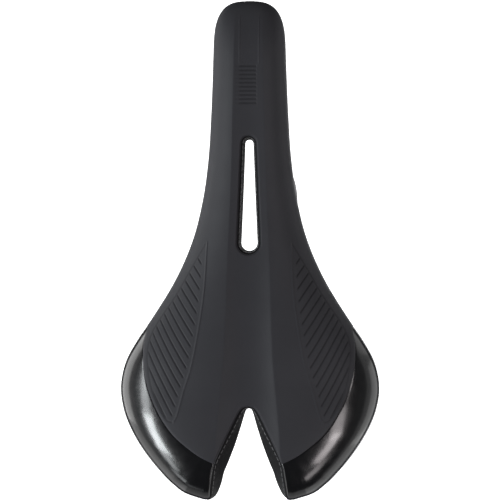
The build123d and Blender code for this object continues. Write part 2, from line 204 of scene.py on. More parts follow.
def wall_x(z, back, inset=0.0):
    """The side wall's distance from the middle at a height, tucked in below its widest line."""
    drop = (widest_z(back) - z) / SKIRT_DROP
    return np.maximum(seat_width(back) - inset - SKIRT_TUCK * nose_rounding(back) * drop**2, 0)


# ---- the openings in plan ----
def slot_half_width(back, wider):
    """Half the slot's width at one distance back, its radii made larger by wider."""
    (b1, r1), (b2, r2) = SLOT_FRONT, SLOT_REAR
    r1, r2 = r1 + wider, r2 + wider
    front = np.sqrt(np.maximum(r1**2 - (back - b1) ** 2, 0))
    rear = np.sqrt(np.maximum(r2**2 - (back - b2) ** 2, 0))
    middle = r1 + (r2 - r1) * (back - b1) / (b2 - b1)
    return np.where(back < b1, front, np.where(back > b2, rear, middle))


def notch_line(share, t):
    """Points of the notch's right edge, from its apex: share is 0 at the bottom and 1 at the top."""
    place = np.arange(len(NOTCH_TOP))
    top_x, top_back = (curve(list(zip(place, v))) for v in zip(*NOTCH_TOP))
    low_x, low_back = (curve(list(zip(place, v))) for v in zip(*NOTCH_BOTTOM))
    x = low_x(t) + (top_x(t) - low_x(t)) * share
    back = low_back(t) + (top_back(t) - low_back(t)) * share
    return np.maximum(x, 0), back


def offset_line(line, out):
    """A line moved outwards, away from the opening that it bounds."""
    x, back = line
    dx, db = np.gradient(x), np.gradient(back)
    size = np.hypot(dx, db)
    return np.maximum(x + out * db / size, 0), back - out * dx / size


NOTCH_T = np.linspace(0, len(NOTCH_TOP) - 1, 500)
NOTCH_EDGE = offset_line(notch_line(1.0, NOTCH_T), CREASE)


def inner_x(back):
    """Where the cover's half begins: the middle, or the edge of the slot or of the notch."""
    x = slot_half_width(back, CREASE)
    order = np.maximum.accumulate(NOTCH_EDGE[1])
    notch = np.interp(back, order, NOTCH_EDGE[0], left=0.0)
    notch = np.where(back > NOTCH_EDGE[1][0], notch, 0.0)
    return np.maximum(x, notch)


def slot_line():
    front = SLOT_FRONT[0] - SLOT_FRONT[1] - CREASE
    rear = SLOT_REAR[0] + SLOT_REAR[1] + CREASE
    back = (front + rear) / 2 - (rear - front) / 2 * np.cos(np.linspace(0, math.pi, 90))
    return slot_half_width(back, CREASE), back


# ---- seams and embossing, drawn as (distance from the middle, distance back) ----
def spline_points(points, count):
    """A dense smooth line through given points."""
    place = list(range(len(points)))
    xs, backs = zip(*points)
    t = np.linspace(0, len(points) - 1, count)
    return curve(list(zip(place, xs)))(t), curve(list(zip(place, backs)))(t)


WING_SEAM = [(66.0, 166.0), (57.2, 178.5), (58.4, 190.0), (58.0, 202.0), (55.0, 215.0),
             (49.2, 227.6), (42.0, 238.0), (34.0, 245.3), (25.0, 251.5), (12.0, 257.3)]
PATTERN_INNER = [(23.0, 133.0), (24.4, 158.0), (26.8, 177.0), (31.0, 200.0), (35.2, 214.0),
                 (38.9, 227.5), (41.0, 232.0)]
PATTERN_OUTER = [(23.0, 133.0), (31.3, 147.0), (40.5, 163.0), (50.6, 178.0), (55.0, 188.0),
                 (55.8, 199.0), (53.4, 213.0), (49.0, 224.0), (44.6, 230.5), (41.0, 232.0)]
RIB_PITCH = 2.24
RIB_STRETCH = (36.7, 58.0)
RIB_REACH = (-7.5, 4.7)
RIB_GROOVE = (0.7, 0.34)     # half width and depth, as for the other grooves
STRIP_X = (-4.9, 5.7)        # the two fine lines' places across
STRIP_STRETCH = (7.0, 36.0)
STRIP_RIDGE = (0.62, 0.17)   # half width and height
PATTERN_SLANT = 57           # degrees
PATTERN_PITCH = 4.2
PATTERN_GROOVE = (0.6, 0.34)
PATTERN_CURL = 0.008         # bends the grooves' outer ends
BORDER_GROOVE = (0.7, 0.12)
PIPING_RIDGE = (0.75, 0.28)


def inside_pattern(x, back):
    """How far a point is from the sit-bone pattern's inner and outer sides, negative outside."""
    side_in, side_out = spline_points(PATTERN_INNER, 200), spline_points(PATTERN_OUTER, 200)
    low = np.interp(back, side_in[1], side_in[0])
    high = np.interp(back, np.maximum.accumulate(side_out[1]), side_out[0])
    ends = np.minimum(back - PATTERN_INNER[0][1], PATTERN_INNER[-1][1] - back)
    return np.minimum(np.abs(x) - low, ends), np.minimum(high - np.abs(x), ends)


def groove(distance, half, depth):
    """A round-bottomed groove of this half width."""
    return -depth * smooth(1 - np.abs(distance) / half)


def pattern_emboss(x, back):
    """Slanting grooves over the sit bones, with a fine raised piping on their inner side."""
    ax = np.abs(x)
    slant = math.radians(PATTERN_SLANT)
    curl = PATTERN_CURL * np.maximum(ax - 34, 0) ** 2
    across = ax * math.sin(slant) + back * math.cos(slant) + curl
    nearest = (across + PATTERN_PITCH / 2) % PATTERN_PITCH - PATTERN_PITCH / 2
    from_inner, from_outer = inside_pattern(x, back)
    fade = smooth((from_inner - 1.9) / 1.0) * smooth((from_outer - 0.1) / 0.9)
    lines = groove(nearest, *PATTERN_GROOVE) * fade
    band = (back > 128) & (back < 236)
    near_inner = np.full(x.shape, 9.0)
    near_outer = np.full(x.shape, 9.0)
    near_inner[band] = line_distance(ax[band], back[band], spline_points(PATTERN_INNER, 60))
    near_outer[band] = line_distance(ax[band], back[band], spline_points(PATTERN_OUTER, 80))
    piping = PIPING_RIDGE[1] * smooth(1 - near_inner / PIPING_RIDGE[0])
    return lines + piping * (ax > 20) + groove(near_outer, *BORDER_GROOVE)


def rib_emboss(x, back):
    """The transverse ribs on the nose and the two fine lines that lead to them."""
    start, end = RIB_STRETCH
    place = (back - start + RIB_PITCH / 2) % RIB_PITCH - RIB_PITCH / 2
    along = smooth((back - start + 0.9) / 0.5) * smooth((end - back) / 0.5)
    low, high = RIB_REACH
    side = smooth((x - low) / 0.6) * smooth((high - x) / 0.5)
    strength = 0.22 + 0.78 * smooth((x - STRIP_X[0] + 0.8) / 1.6)
    ribs = groove(place, *RIB_GROOVE) * along * side * strength
    length = smooth((back - STRIP_STRETCH[0]) / 4) * smooth((STRIP_STRETCH[1] - back) / 1.5)
    half, height = STRIP_RIDGE
    lines = sum(height * smooth(1 - np.abs(x - strip) / half) for strip in STRIP_X)
    return ribs + lines * length


# ---------------------------------------------------------------------------
# Mesh helpers
# ---------------------------------------------------------------------------
def to_world(x, back, z):
    """Seat coordinates in millimetres to metres in the CAD frame."""
    return np.stack([x, NOSE_Y - back, z], -1) * MM


def mesh_object(name, verts, faces, smooth_shading=True):
    """A mesh in the scene. A fourth value in each vertex is the painted shade of the embossing's grooves
    there, set by how deep it lies in them.
    """
    mesh = bpy.data.meshes.new(name)
    mesh.from_pydata([tuple(v)[:3] for v in verts], [], [tuple(f) for f in faces])
    if len(verts[0]) > 3:
        # painted shade: how dark the embossing's grooves are painted, per vertex
        depth = mesh.attributes.new("groove_shade", "FLOAT", "POINT")
        depth.data.foreach_set("value", np.asarray(verts)[:, 3].astype(np.float32))
    mesh.validate()
    mesh.update()
    if smooth_shading:
        mesh.polygons.foreach_set("use_smooth", np.ones(len(mesh.polygons), bool))
    obj = bpy.data.objects.new(name, mesh)
    bpy.context.scene.collection.objects.link(obj)
    return obj


def finish_piece(obj, material, slot, *nodes, body="root"):
    """Give a piece its material, its body and the CAD nodes it stands for. The slot argument is not used.
    """
    obj.data.materials.append(material)
    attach(obj, body)
    if nodes:
        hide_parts(*nodes)


def weld(verts, faces, distance=1e-6):
    """Merge vertices at the same place and drop the faces that vanish."""
    keys = np.round(np.asarray(verts)[:, :3] / distance).astype(np.int64)
    _, first, inverse = np.unique(keys, axis=0, return_index=True, return_inverse=True)
    inverse = inverse.reshape(-1)
    kept = []
    for face in faces:
        ring = []
        for v in face:
            v = int(inverse[v])
            if v not in ring:
                ring.append(v)
        if len(ring) > 2:
            kept.append(ring)
    return np.asarray(verts)[first], kept


# ---------------------------------------------------------------------------
# The cover: one grid per half, cut along the wing seam. It is a single-walled surface, open
# along its hem, its seams and the slot.
# ---------------------------------------------------------------------------
ROW_STEP = 0.46
ARCH_COLUMNS = 172
WALL_COLUMNS = 20
LIP_COLUMNS = 6
LEDGE_COLUMNS = 3
HEM_COLUMNS = 4
EDGE_ROUND = 1.2             # radius at the rim
ROLL_R = 1.15                # radius of the cover's rolled edge round the openings
ROLL_DEPTH = 1.2             # how far that edge turns down, in shares of its own rounding
SEAM_CREASE = (0.45, 0.3)    # half width and depth
WING_STEP = (0.9, 0.22)      # how far the wings lie below the centre, reached over this width
GROOVE_SHADE_FULL_DEPTH = 0.42           # an embossing this deep gets the full painted groove shade
# strength of the painted groove shade on the nose and behind it
NOSE_GROOVE_SHADE, REAR_GROOVE_SHADE = 0.55, 0.85


def row_places():
    """Distances back for the grid's rows, closer together where an outline turns quickly."""
    fine = np.linspace(COVER_START, LENGTH, 60001)
    width, inner = seat_width(fine), inner_x(fine)
    hem = wall_x(edge_z(fine), fine, RIM_WIDTH)
    tail = tail_rounding(fine) * 14
    step = np.sqrt(np.diff(fine) ** 2 + np.diff(width) ** 2 * 0.6 + np.diff(inner) ** 2
                   + np.diff(hem) ** 2 * 0.2 + np.diff(tail) ** 2 * 0.3)
    walked = np.concatenate([[0], np.cumsum(step)])
    count = int(walked[-1] / ROW_STEP)
    return np.interp(np.linspace(0, walked[-1], count), walked, fine)


def lobe_closing(back):
    """0 along the notch, 1 at the lobe's tip, where its two sides meet."""
    return (1 - tail_rounding(back)) ** LOBE_CLOSING_POWER


def lobe_limits(back):
    """(inner, outer) x of the half at the top, closing to one point at the lobe's tip."""
    inner, outer = inner_x(back), seat_width(back)
    close = lobe_closing(back)
    inner = inner + (LOBE_TIP_X - inner) * close
    outer = outer + (LOBE_TIP_X - outer) * close
    return inner, np.maximum(outer, inner)


def cover_grid(side):
    """Grid of the cover's half in seat coordinates: x, distance back and z, each (rows, columns)."""
    back = row_places()[:, None]
    inner, outer = lobe_limits(back)
    # columns are even along the arch's surface: an angle grid bent by its own arc length
    fine = np.linspace(0, 1, 400)[None, :]
    x_fine = inner + (outer - inner) * np.sin(fine * math.pi / 2) ** 0.9
    z_fine = top_z(x_fine, back)
    walked = np.cumsum(np.hypot(np.diff(x_fine, axis=1), np.diff(z_fine, axis=1)), axis=1)
    walked = np.concatenate([np.zeros_like(back), walked], axis=1)
    walked = walked / np.maximum(walked[:, -1:], 1e-9)
    even = np.linspace(0, 1, ARCH_COLUMNS)
    x = np.stack([np.interp(even, walked[i], x_fine[i]) for i in range(len(back))])
    backs = np.repeat(back, ARCH_COLUMNS, 1)
    z = top_z(x, backs)
    low = edge_z(back)
    # wall, then a rounded rim, the ledge under it and the hem up inside
    drop = np.linspace(0, 1, WALL_COLUMNS + 1)[None, 1:]
    z_wall = z[:, -1:] + (low + EDGE_ROUND - z[:, -1:]) * drop
    x_wall = wall_x(z_wall, back) + (x[:, -1:] - wall_x(z[:, -1:], back))
    turn = np.linspace(0, math.pi / 2, LIP_COLUMNS)[None, 1:]
    x_round = x_wall[:, -1:] - EDGE_ROUND * (1 - np.cos(turn))
    z_round = low + EDGE_ROUND * (1 - np.sin(turn))
    hem_x = wall_x(low, back, RIM_WIDTH)
    at_tip = smooth((back - 262) / 13)
    hem_x = hem_x + (LOBE_TIP_X - hem_x) * at_tip**3
    inwards = np.linspace(0, 1, LEDGE_COLUMNS + 1)[None, 1:]
    x_ledge = x_round[:, -1:] + (hem_x - x_round[:, -1:]) * inwards
    z_ledge = np.repeat(low, LEDGE_COLUMNS, 1)
    rise = np.linspace(0, 1, HEM_COLUMNS + 1)[None, 1:]
    room = smooth((hem_x - 0.05) / 0.6) * (1 - at_tip)
    z_hem = low + HEM_HEIGHT * rise * room
    x_hem = hem_x - 0.3 * np.sin(rise * math.pi) * room
    x = np.concatenate([x, x_wall, x_round, x_ledge, x_hem], 1)
    z = np.concatenate([z, z_wall, z_round, z_ledge, z_hem], 1)
    backs = np.repeat(back, x.shape[1], 1)
    return np.maximum(x, 0) * side, backs, z


def seam_side(x, back):
    """Signed distance from the wing's seam in plan, positive on the wing."""
    seam = spline_points(WING_SEAM, 120)
    ax = np.abs(x)
    near = np.full(ax.shape, 30.0)
    band = (back > 160) & (ax > 10)
    near[band] = line_distance(ax[band], back[band], seam)
    order = np.argsort(seam[1])
    at_seam = np.interp(back, seam[1][order], seam[0][order], left=999, right=-1)
    return np.where(ax > at_seam, near, -near)


def opening_distance(x, back):
    """Distance in plan to the slot's or the notch's edge, measured only near them."""
    ax = np.abs(x)
    far = np.full(ax.shape, 30.0)
    band = ((back > 70) & (back < 145) & (ax < 12)) | ((back > 218) & (ax < 30))
    slot, notch = slot_line(), (NOTCH_EDGE[0][::6], NOTCH_EDGE[1][::6])
    far[band] = np.minimum(line_distance(ax[band], back[band], slot),
                           line_distance(ax[band], back[band], notch))
    return far


def build_cover():
    """Both halves of the cover as three pieces: the centre panel and two wings."""
    panels = {name: ([], []) for name in ("centre", "left", "right")}
    for side, wing in ((-1, "left"), (1, "right")):
        x, back, z = cover_grid(side)
        rows, columns = x.shape
        phi = seam_side(x, back)
        # walls and hem take their side from the arch's last column, so that the seam runs down them
        phi[:, ARCH_COLUMNS:] = phi[:, ARCH_COLUMNS - 1:ARCH_COLUMNS]
        x, back, phi = snap_to_seam(x, back, phi)
        z[:, :ARCH_COLUMNS] = top_z(x[:, :ARCH_COLUMNS], back[:, :ARCH_COLUMNS])
        away = opening_distance(x, back)
        rolled = ROLL_R * (1 - np.sqrt(1 - np.clip(1 - away / ROLL_R, 0, 1) ** 2))
        lift = -ROLL_DEPTH * rolled
        embossed = pattern_emboss(x, back) * (phi < -0.8) + rib_emboss(x, back)
        # painted shade: the deeper a groove, the darker its colour is painted
        strength = np.where(back < 100, NOSE_GROOVE_SHADE, REAR_GROOVE_SHADE)
        groove_shade = np.clip(-embossed / GROOVE_SHADE_FULL_DEPTH, 0, 1) * strength
        lift += embossed
        crease = -SEAM_CREASE[1] * np.exp(-(phi / SEAM_CREASE[0]) ** 2)
        step = -WING_STEP[1] * smooth(phi / WING_STEP[0]) * (phi > 0)
        lift += crease + step
        z[:, :ARCH_COLUMNS] += lift[:, :ARCH_COLUMNS]
        groove_shade[:, ARCH_COLUMNS:] = 0
        points = np.concatenate([to_world(x, back, z), groove_shade[..., None]], -1).reshape(-1, 4)
        split_faces(panels, points, phi.reshape(-1), rows, columns, side, wing)
    return panels


def snap_to_seam(x, back, phi):
    """Move the grid's nearest points onto the seam, so that the panels' edges are clean."""
    for axis in (1, 0):
        a = (slice(None), slice(None, -1)) if axis else (slice(None, -1), slice(None))
        b = (slice(None), slice(1, None)) if axis else (slice(1, None), slice(None))
        fa, fb = phi[a], phi[b]
        crosses = fa * fb < 0
        share = np.where(crosses, fa / np.where(crosses, fa - fb, 1), 9)
        for target, other, near in ((a, b, share <= 0.5), (b, a, (share > 0.5) & (share <= 1))):
            t = np.where(target is a, share, 1 - share)
            move = crosses & near
            for grid in (x, back):
                here, there = grid[target].copy(), grid[other]
                here[move] = (here + (there - here) * t)[move]
                grid[target] = here
            level = phi[target].copy()
            level[move] = 0
            phi[target] = level
    return x, back, phi


def split_faces(panels, points, phi, rows, columns, side, wing):
    """Hand each grid cell to its panel, cutting cells on the seam along their diagonal."""
    index = np.arange(rows * columns).reshape(rows, columns)
    corners = [index[:-1, :-1], index[1:, :-1], index[1:, 1:], index[:-1, 1:]]
    quads = np.stack(corners, -1).reshape(-1, 4)
    if side < 0:
        quads = quads[:, ::-1]
    values = phi[quads]
    low, high = values.min(1), values.max(1)
    mixed = (low < 0) & (high > 0)
    chosen = {"centre": list(quads[(high <= 0)]), wing: list(quads[(low >= 0) & (high > 0)])}
    for quad in quads[mixed]:
        v = phi[quad]
        first = 0 if abs(v[0]) + abs(v[2]) < abs(v[1]) + abs(v[3]) else 1
        q = np.roll(quad, -first)
        for triangle in ((q[0], q[1], q[2]), (q[0], q[2], q[3])):
            total = sum(phi[k] for k in triangle)
            chosen["centre" if total <= 0 else wing].append(triangle)
    for name, faces in chosen.items():
        verts, kept = panels[name]
        start = sum(len(v) for v in verts)
        verts.append(points)
        kept.extend([[int(k) + start for k in face] for face in faces])


def compact(verts, faces):
    """Only the vertices that the faces use, welded."""
    verts = np.concatenate(verts)
    used = np.unique(np.concatenate([np.asarray(f) for f in faces]))
    renumber = np.full(len(verts), -1)
    renumber[used] = np.arange(len(used))
    return weld(verts[used], [[int(renumber[k]) for k in f] for f in faces])


# ---------------------------------------------------------------------------
# Linings and stitches
# ---------------------------------------------------------------------------
def swept_ring(name, path_at, profile, count, closed):
    """A closed strip: profile points (out, place) swept along path_at(i, out, place), which gives
    seat coordinates."""
    verts, faces = [], []
    turn = len(profile)
    for i in range(count):
        for out, place in profile:
            verts.append(tuple(to_world(*path_at(i, out, place))))
    loops = count if closed else count - 1
    for i in range(loops):
        j = (i + 1) % count
        for k in range(turn):
            m = (k + 1) % turn
            faces.append((i * turn + k, i * turn + m, j * turn + m, j * turn + k))
    if not closed:
        faces.append(tuple(range(turn)))
        faces.append(tuple((count - 1) * turn + k for k in reversed(range(turn))))
    return mesh_object(name, verts, faces)


SLOT_STEPS = 220
NOTCH_STEPS = 260
NOTCH_END = 6.0              # where the lining ends, along NOTCH_TOP's points
APEX_ROUND = 0.12            # along the same points, the notch's apex is rounded over this
LINING_DEPTH = 12.5          # from the cover's top down to the shell's underside, near an opening
LINING_PROFILE = [  # (outwards in mm, share of the way down), the visible face first
    (1.1, 0.085), (0.8, 0.09), (0.3, 0.115), (0.06, 0.15), (0.0, 0.2), (0.04, 0.25), (0.0, 0.4),
    (0.0, 0.6), (0.0, 0.8), (0.0, 0.94), (0.25, 1.0), (0.9, 1.035), (2.2, 1.04), (4.4, 1.03),
    (4.5, 0.99), (2.2, 0.985), (1.2, 0.96), (0.95, 0.8), (0.95, 0.5), (0.95, 0.25), (1.15, 0.11)]


def slot_point(turn, out, place):
    """A point on the slot's wall: turn goes once round, out is outwards from the wall, and place is
    the share of the way down the lining."""
    (b1, r1), (b2, r2) = SLOT_FRONT, SLOT_REAR
    front, rear = b1 - r1, b2 + r2
    back = (front + rear) / 2 - (rear - front) / 2 * math.cos(turn)
    z = float(top_z(0.0, np.array(back))) - place * LINING_DEPTH
    wider = (z - SLOT_Z) * SLOT_DRAFT
    half = (rear - front) / 2 + wider + out
    back = (front + rear) / 2 - half * math.cos(turn)
    x = float(slot_half_width(np.array(back), wider + out))
    if math.sin(turn) < 0:
        x = -x
    return x, back, z


def round_slot(steps):
    """Points of the slot's wall by step, once round it."""
    def at(i, out, place):
        return slot_point(2 * math.pi * i / steps, out, place)

    return at


def slot_lining():
    return swept_ring("slot_lining_fabric", round_slot(SLOT_STEPS), LINING_PROFILE, SLOT_STEPS, True)


def notch_place(a, share):
    """The notch's right edge, bent outwards to the lobe's tip at its end."""
    x, back = (float(v) for v in notch_line(share, np.array(a)))
    back = min(back, LENGTH)
    return x + (LOBE_TIP_X - x) * float(lobe_closing(back)), back


def notch_point(t, out, place):
    """A point on the notch's wall: t runs from the left lobe (negative) to the right one."""
    a = abs(t)
    x1, b1 = notch_place(a, 1.0)
    high = float(top_z(x1, b1))
    near_tip = float(smooth((b1 - 256) / 16))
    low = (high - LINING_DEPTH) * (1 - near_tip) + (float(edge_z(b1)) + 0.8) * near_tip
    z = high - place * (high - low)
    share = (z - NOTCH_BOTTOM_Z) / (NOTCH_TOP_Z - NOTCH_BOTTOM_Z)
    x, back = notch_place(a, share)
    behind_x, behind_b = notch_place(max(a - 0.04, 0), share)
    ahead_x, ahead_b = notch_place(a + 0.04, share)
    dx, db = ahead_x - behind_x, ahead_b - behind_b
    size = max(math.hypot(dx, db), 1e-9)
    nx, nb = db / size, -dx / size
    if a < APEX_ROUND:
        nx, nb = nx * a / APEX_ROUND, -1.0
        scale = math.hypot(nx, nb)
        nx, nb = nx / scale, nb / scale
    out = out * (1 - float(lobe_closing(b1)))
    x, back = x + nx * out, min(back + nb * out, LENGTH)
    return math.copysign(max(x, 0.0), t), back, z


def along_notch(end, steps):
    """Points of the notch's wall by step, from the left lobe round the apex to the right one."""
    def at(i, out, place):
        t = end * (2 * i / steps - 1)
        return notch_point(t if t else 1e-6, out, place)

    return at


def notch_lining():
    path = along_notch(NOTCH_END, NOTCH_STEPS - 1)
    return swept_ring("notch_lining_fabric", path, LINING_PROFILE, NOTCH_STEPS, False)


STITCH_LENGTH = 2.3
STITCH_PITCH = 3.1
STITCH_R = 0.24
STITCH_JITTER = 0.12
STITCH_RINGS, STITCH_SIDES = 7, 6
STITCH_STEPS = 240           # steps of the path that each row of stitches follows


def stitch_row(name, path, lifts, seed):
    """Thread stitches along a path of points in metres; each dips into the cloth at its ends."""
    rng = random.Random(seed)
    path = [Vector(p) for p in path]
    lifts = [Vector(v) for v in lifts]
    walked = [0.0]
    for a, b in zip(path, path[1:]):
        walked.append(walked[-1] + (b - a).length)
    verts, faces = [], []
    rings, sides = STITCH_RINGS, STITCH_SIDES
    place = STITCH_PITCH * MM / 2
    while place + STITCH_LENGTH * MM < walked[-1]:
        jitter = rng.uniform(-STITCH_JITTER, STITCH_JITTER) * MM
        start = len(verts)
        for r in range(rings):
            share = r / (rings - 1)
            s = place + jitter + share * STITCH_LENGTH * MM
            i = min(max(int(np.searchsorted(walked, s)) - 1, 0), len(path) - 2)
            f = (s - walked[i]) / max(walked[i + 1] - walked[i], 1e-12)
            centre = path[i].lerp(path[i + 1], f)
            out = lifts[i].lerp(lifts[i + 1], f).normalized()
            along = (path[i + 1] - path[i]).normalized()
            across = along.cross(out).normalized()
            swell = math.sin(math.pi * (0.12 + 0.76 * share))
            centre = centre + out * (STITCH_R * 0.75 * swell - 0.1) * MM
            radius = STITCH_R * MM * (0.55 + 0.45 * swell)
            for k in range(sides):
                a = 2 * math.pi * k / sides
                verts.append(centre + (across * math.cos(a) * 1.15 + out * math.sin(a)) * radius)
        for r in range(rings - 1):
            for k in range(sides):
                m = (k + 1) % sides
                a, b = start + r * sides, start + (r + 1) * sides
                faces.append((a + k, a + m, b + m, b + k))
        faces.append([start + k for k in reversed(range(sides))])
        faces.append([start + (rings - 1) * sides + k for k in range(sides)])
        place += STITCH_PITCH * MM
    return mesh_object(name, verts, faces)


def stitch_path(point_at, place):
    """Path points on a lining and the directions out of the cloth there."""
    path, lifts = [], []
    for i in range(STITCH_STEPS + 1):
        on = Vector(tuple(to_world(*point_at(i, 0.0, place))))
        inward = Vector(tuple(to_world(*point_at(i, -0.5, place))))
        path.append(on)
        lifts.append((inward - on).normalized() + Vector((0, 0, 0.35)))
    return path, lifts


# ---------------------------------------------------------------------------
# Materials
# ---------------------------------------------------------------------------
def new_material(name, color, roughness, **sockets):
    material = bpy.data.materials.new(name)
    material.use_nodes = True
    shader = material.node_tree.nodes["Principled BSDF"]
    shader.inputs["Base Color"].default_value = (*color, 1)
    shader.inputs["Roughness"].default_value = roughness
    for socket, value in sockets.items():
        shader.inputs[socket.replace("_", " ")].default_value = value
    return material, material.node_tree, shader


def node(tree, kind, **inputs):
    made = tree.nodes.new(kind)
    for name, value in inputs.items():
        made.inputs[name.replace("_", " ")].default_value = value
    return made


def object_coords(tree, scale=(1, 1, 1)):
    coords = tree.nodes.new("ShaderNodeTexCoord")
    mapping = node(tree, "ShaderNodeMapping", Scale=scale)
    tree.links.new(coords.outputs["Object"], mapping.inputs["Vector"])
    return mapping.outputs["Vector"]


def bump(tree, shader, height, strength, distance, before=None):
    """A bump on the shader's normal, over the one before it."""
    made = node(tree, "ShaderNodeBump", Strength=strength, Distance=distance)
    tree.links.new(height, made.inputs["Height"])
    if before:
        tree.links.new(before.outputs["Normal"], made.inputs["Normal"])
    tree.links.new(made.outputs["Normal"], shader.inputs["Normal"])
    return made


def mix_colors(tree, factor, dark, light):
    """A color between two, driven by a factor output from 0 to 1."""
    ramp = node(tree, "ShaderNodeValToRGB")
    ramp.color_ramp.elements[0].color = (*dark, 1)
    ramp.color_ramp.elements[1].color = (*light, 1)
    tree.links.new(factor, ramp.inputs["Fac"])
    return ramp.outputs["Color"]


def map_range(tree, value, low, high):
    made = node(tree, "ShaderNodeMapRange", To_Min=low, To_Max=high)
    tree.links.new(value, made.inputs["Value"])
    return made.outputs["Result"]


def noise(tree, vector, scale, detail=3.0, roughness=0.55):
    made = node(tree, "ShaderNodeTexNoise", Scale=scale, Detail=detail, Roughness=roughness)
    tree.links.new(vector, made.inputs["Vector"])
    return made.outputs["Fac"]


def voronoi(tree, vector, scale):
    made = node(tree, "ShaderNodeTexVoronoi", Scale=scale)
    tree.links.new(vector, made.inputs["Vector"])
    return made.outputs["Distance"]


def matte_cover_material():
    """Matte black microfibre: a pebble grain under a finer nap, with a faint sheen, and painted shade
    that darkens the embossed grooves' bottoms and dulls their specular.
    """
    material, tree, shader = new_material("matte microfibre", (0.02, 0.02, 0.021), 0.5,
                                          Sheen_Weight=0.03, Sheen_Roughness=0.5, Specular_IOR_Level=0.45)
    vector = object_coords(tree)
    grain = bump(tree, shader, voronoi(tree, vector, 1500), 0.16, 0.00012)
    bump(tree, shader, noise(tree, vector, 5200, 2.0), 0.18, 0.00006, grain)
    cloud = noise(tree, vector, 38, 4.0)
    color = mix_colors(tree, cloud, (0.022, 0.022, 0.0255), (0.030, 0.030, 0.0345))
    # painted shade: the grooves' colour turns near black and their specular drops with the groove shade
    # attribute
    groove_shade = tree.nodes.new("ShaderNodeAttribute")
    groove_shade.attribute_name = "groove_shade"
    groove_shaded_color = tree.nodes.new("ShaderNodeMix")
    groove_shaded_color.data_type = "RGBA"
    groove_shaded_color.inputs["B"].default_value = (0.003, 0.003, 0.003, 1)
    tree.links.new(groove_shade.outputs["Fac"], groove_shaded_color.inputs["Factor"])
    tree.links.new(color, groove_shaded_color.inputs["A"])
    tree.links.new(groove_shaded_color.outputs["Result"], shader.inputs["Base Color"])
    shine = map_range(tree, groove_shade.outputs["Fac"], 0.22, 0.05)
    tree.links.new(shine, shader.inputs["Specular IOR Level"])
    dullness = map_range(tree, noise(tree, vector, 90, 3.0), 0.52, 0.62)
    tree.links.new(dullness, shader.inputs["Roughness"])
    return material


def gloss_cover_material():
    """Patent-like black coating: glossy, with a slight ripple and a very fine grain."""
    material, tree, shader = new_material("patent gloss", (0.003, 0.003, 0.0035), 0.2,
                                          Coat_Weight=0.35, Coat_Roughness=0.12)
    vector = object_coords(tree)
    ripple = bump(tree, shader, noise(tree, vector, 95, 2.0), 0.22, 0.0005)
    bump(tree, shader, voronoi(tree, vector, 1300), 0.05, 0.0001, ripple)
    dullness = map_range(tree, noise(tree, vector, 240, 4.0), 0.15, 0.27)
    tree.links.new(dullness, shader.inputs["Roughness"])
    return material


def lining_material():
    """Woven lining fabric."""
    material, tree, shader = new_material("lining fabric", (0.012, 0.012, 0.013), 0.8,
                                          Sheen_Weight=0.02, Specular_IOR_Level=0.2)
    vector = object_coords(tree)
    waves = []
    for axis in ("Y", "Z"):
        wave = node(tree, "ShaderNodeTexWave", Scale=900.0, Distortion=0.6)
        wave.bands_direction = axis
        tree.links.new(vector, wave.inputs["Vector"])
        waves.append(wave.outputs["Fac"])
    weave = tree.nodes.new("ShaderNodeMath")
    weave.operation = "MULTIPLY"
    tree.links.new(waves[0], weave.inputs[0])
    tree.links.new(waves[1], weave.inputs[1])
    bump(tree, shader, weave.outputs[0], 0.5, 0.0001)
    color = mix_colors(tree, weave.outputs[0], (0.004, 0.004, 0.0045), (0.014, 0.014, 0.015))
    tree.links.new(color, shader.inputs["Base Color"])
    return material


def thread_material():
    material, tree, shader = new_material("thread", (0.3, 0.3, 0.31), 0.6, Sheen_Weight=0.1)
    vector = object_coords(tree)
    bump(tree, shader, noise(tree, vector, 4000, 2.0), 0.5, 0.0001)
    color = mix_colors(tree, noise(tree, vector, 2500), (0.06, 0.06, 0.062), (0.17, 0.17, 0.175))
    tree.links.new(color, shader.inputs["Base Color"])
    return material


def plastic_material(name, color, grain, roughness):
    """Moulded plastic with a spark-eroded texture and faint scuffs."""
    material, tree, shader = new_material(name, color, roughness)
    vector = object_coords(tree)
    bump(tree, shader, noise(tree, vector, grain, 5.0, 0.7), 0.28, 0.0001)
    low, high = roughness - 0.08, roughness + 0.1
    dullness = map_range(tree, noise(tree, vector, 120, 4.0), low, high)
    tree.links.new(dullness, shader.inputs["Roughness"])
    lighter = tuple(c * 1.5 for c in color)
    shade = mix_colors(tree, noise(tree, vector, 60, 3.0), color, lighter)
    tree.links.new(shade, shader.inputs["Base Color"])
    return material


def foam_material():
    material, tree, shader = new_material("foam", (0.07, 0.07, 0.072), 0.85)
    vector = object_coords(tree)
    bump(tree, shader, voronoi(tree, vector, 1800), 0.4, 0.0003)
    return material


def rail_material():
    """Drawn metal tube: fine lines along its length under a satin finish."""
    material, tree, shader = new_material("rail metal", (0.33, 0.33, 0.34), 0.32,
                                          Metallic=1.0, Anisotropic=0.4)
    vector = object_coords(tree, (1, 0.04, 1))
    lines = noise(tree, vector, 2600, 3.0)
    bump(tree, shader, lines, 0.12, 0.00005)
    tree.links.new(map_range(tree, lines, 0.24, 0.42), shader.inputs["Roughness"])
    cloud = noise(tree, object_coords(tree), 45, 3.0)
    color = mix_colors(tree, cloud, (0.26, 0.26, 0.27), (0.4, 0.4, 0.41))
    tree.links.new(color, shader.inputs["Base Color"])
    return material


def screw_material():
    material, tree, shader = new_material("zinc plated steel", (0.42, 0.42, 0.43), 0.36, Metallic=1.0)
    vector = object_coords(tree)
    speck = noise(tree, vector, 900, 3.0)
    bump(tree, shader, speck, 0.12, 0.00005)
    tree.links.new(map_range(tree, speck, 0.28, 0.46), shader.inputs["Roughness"])
    return material


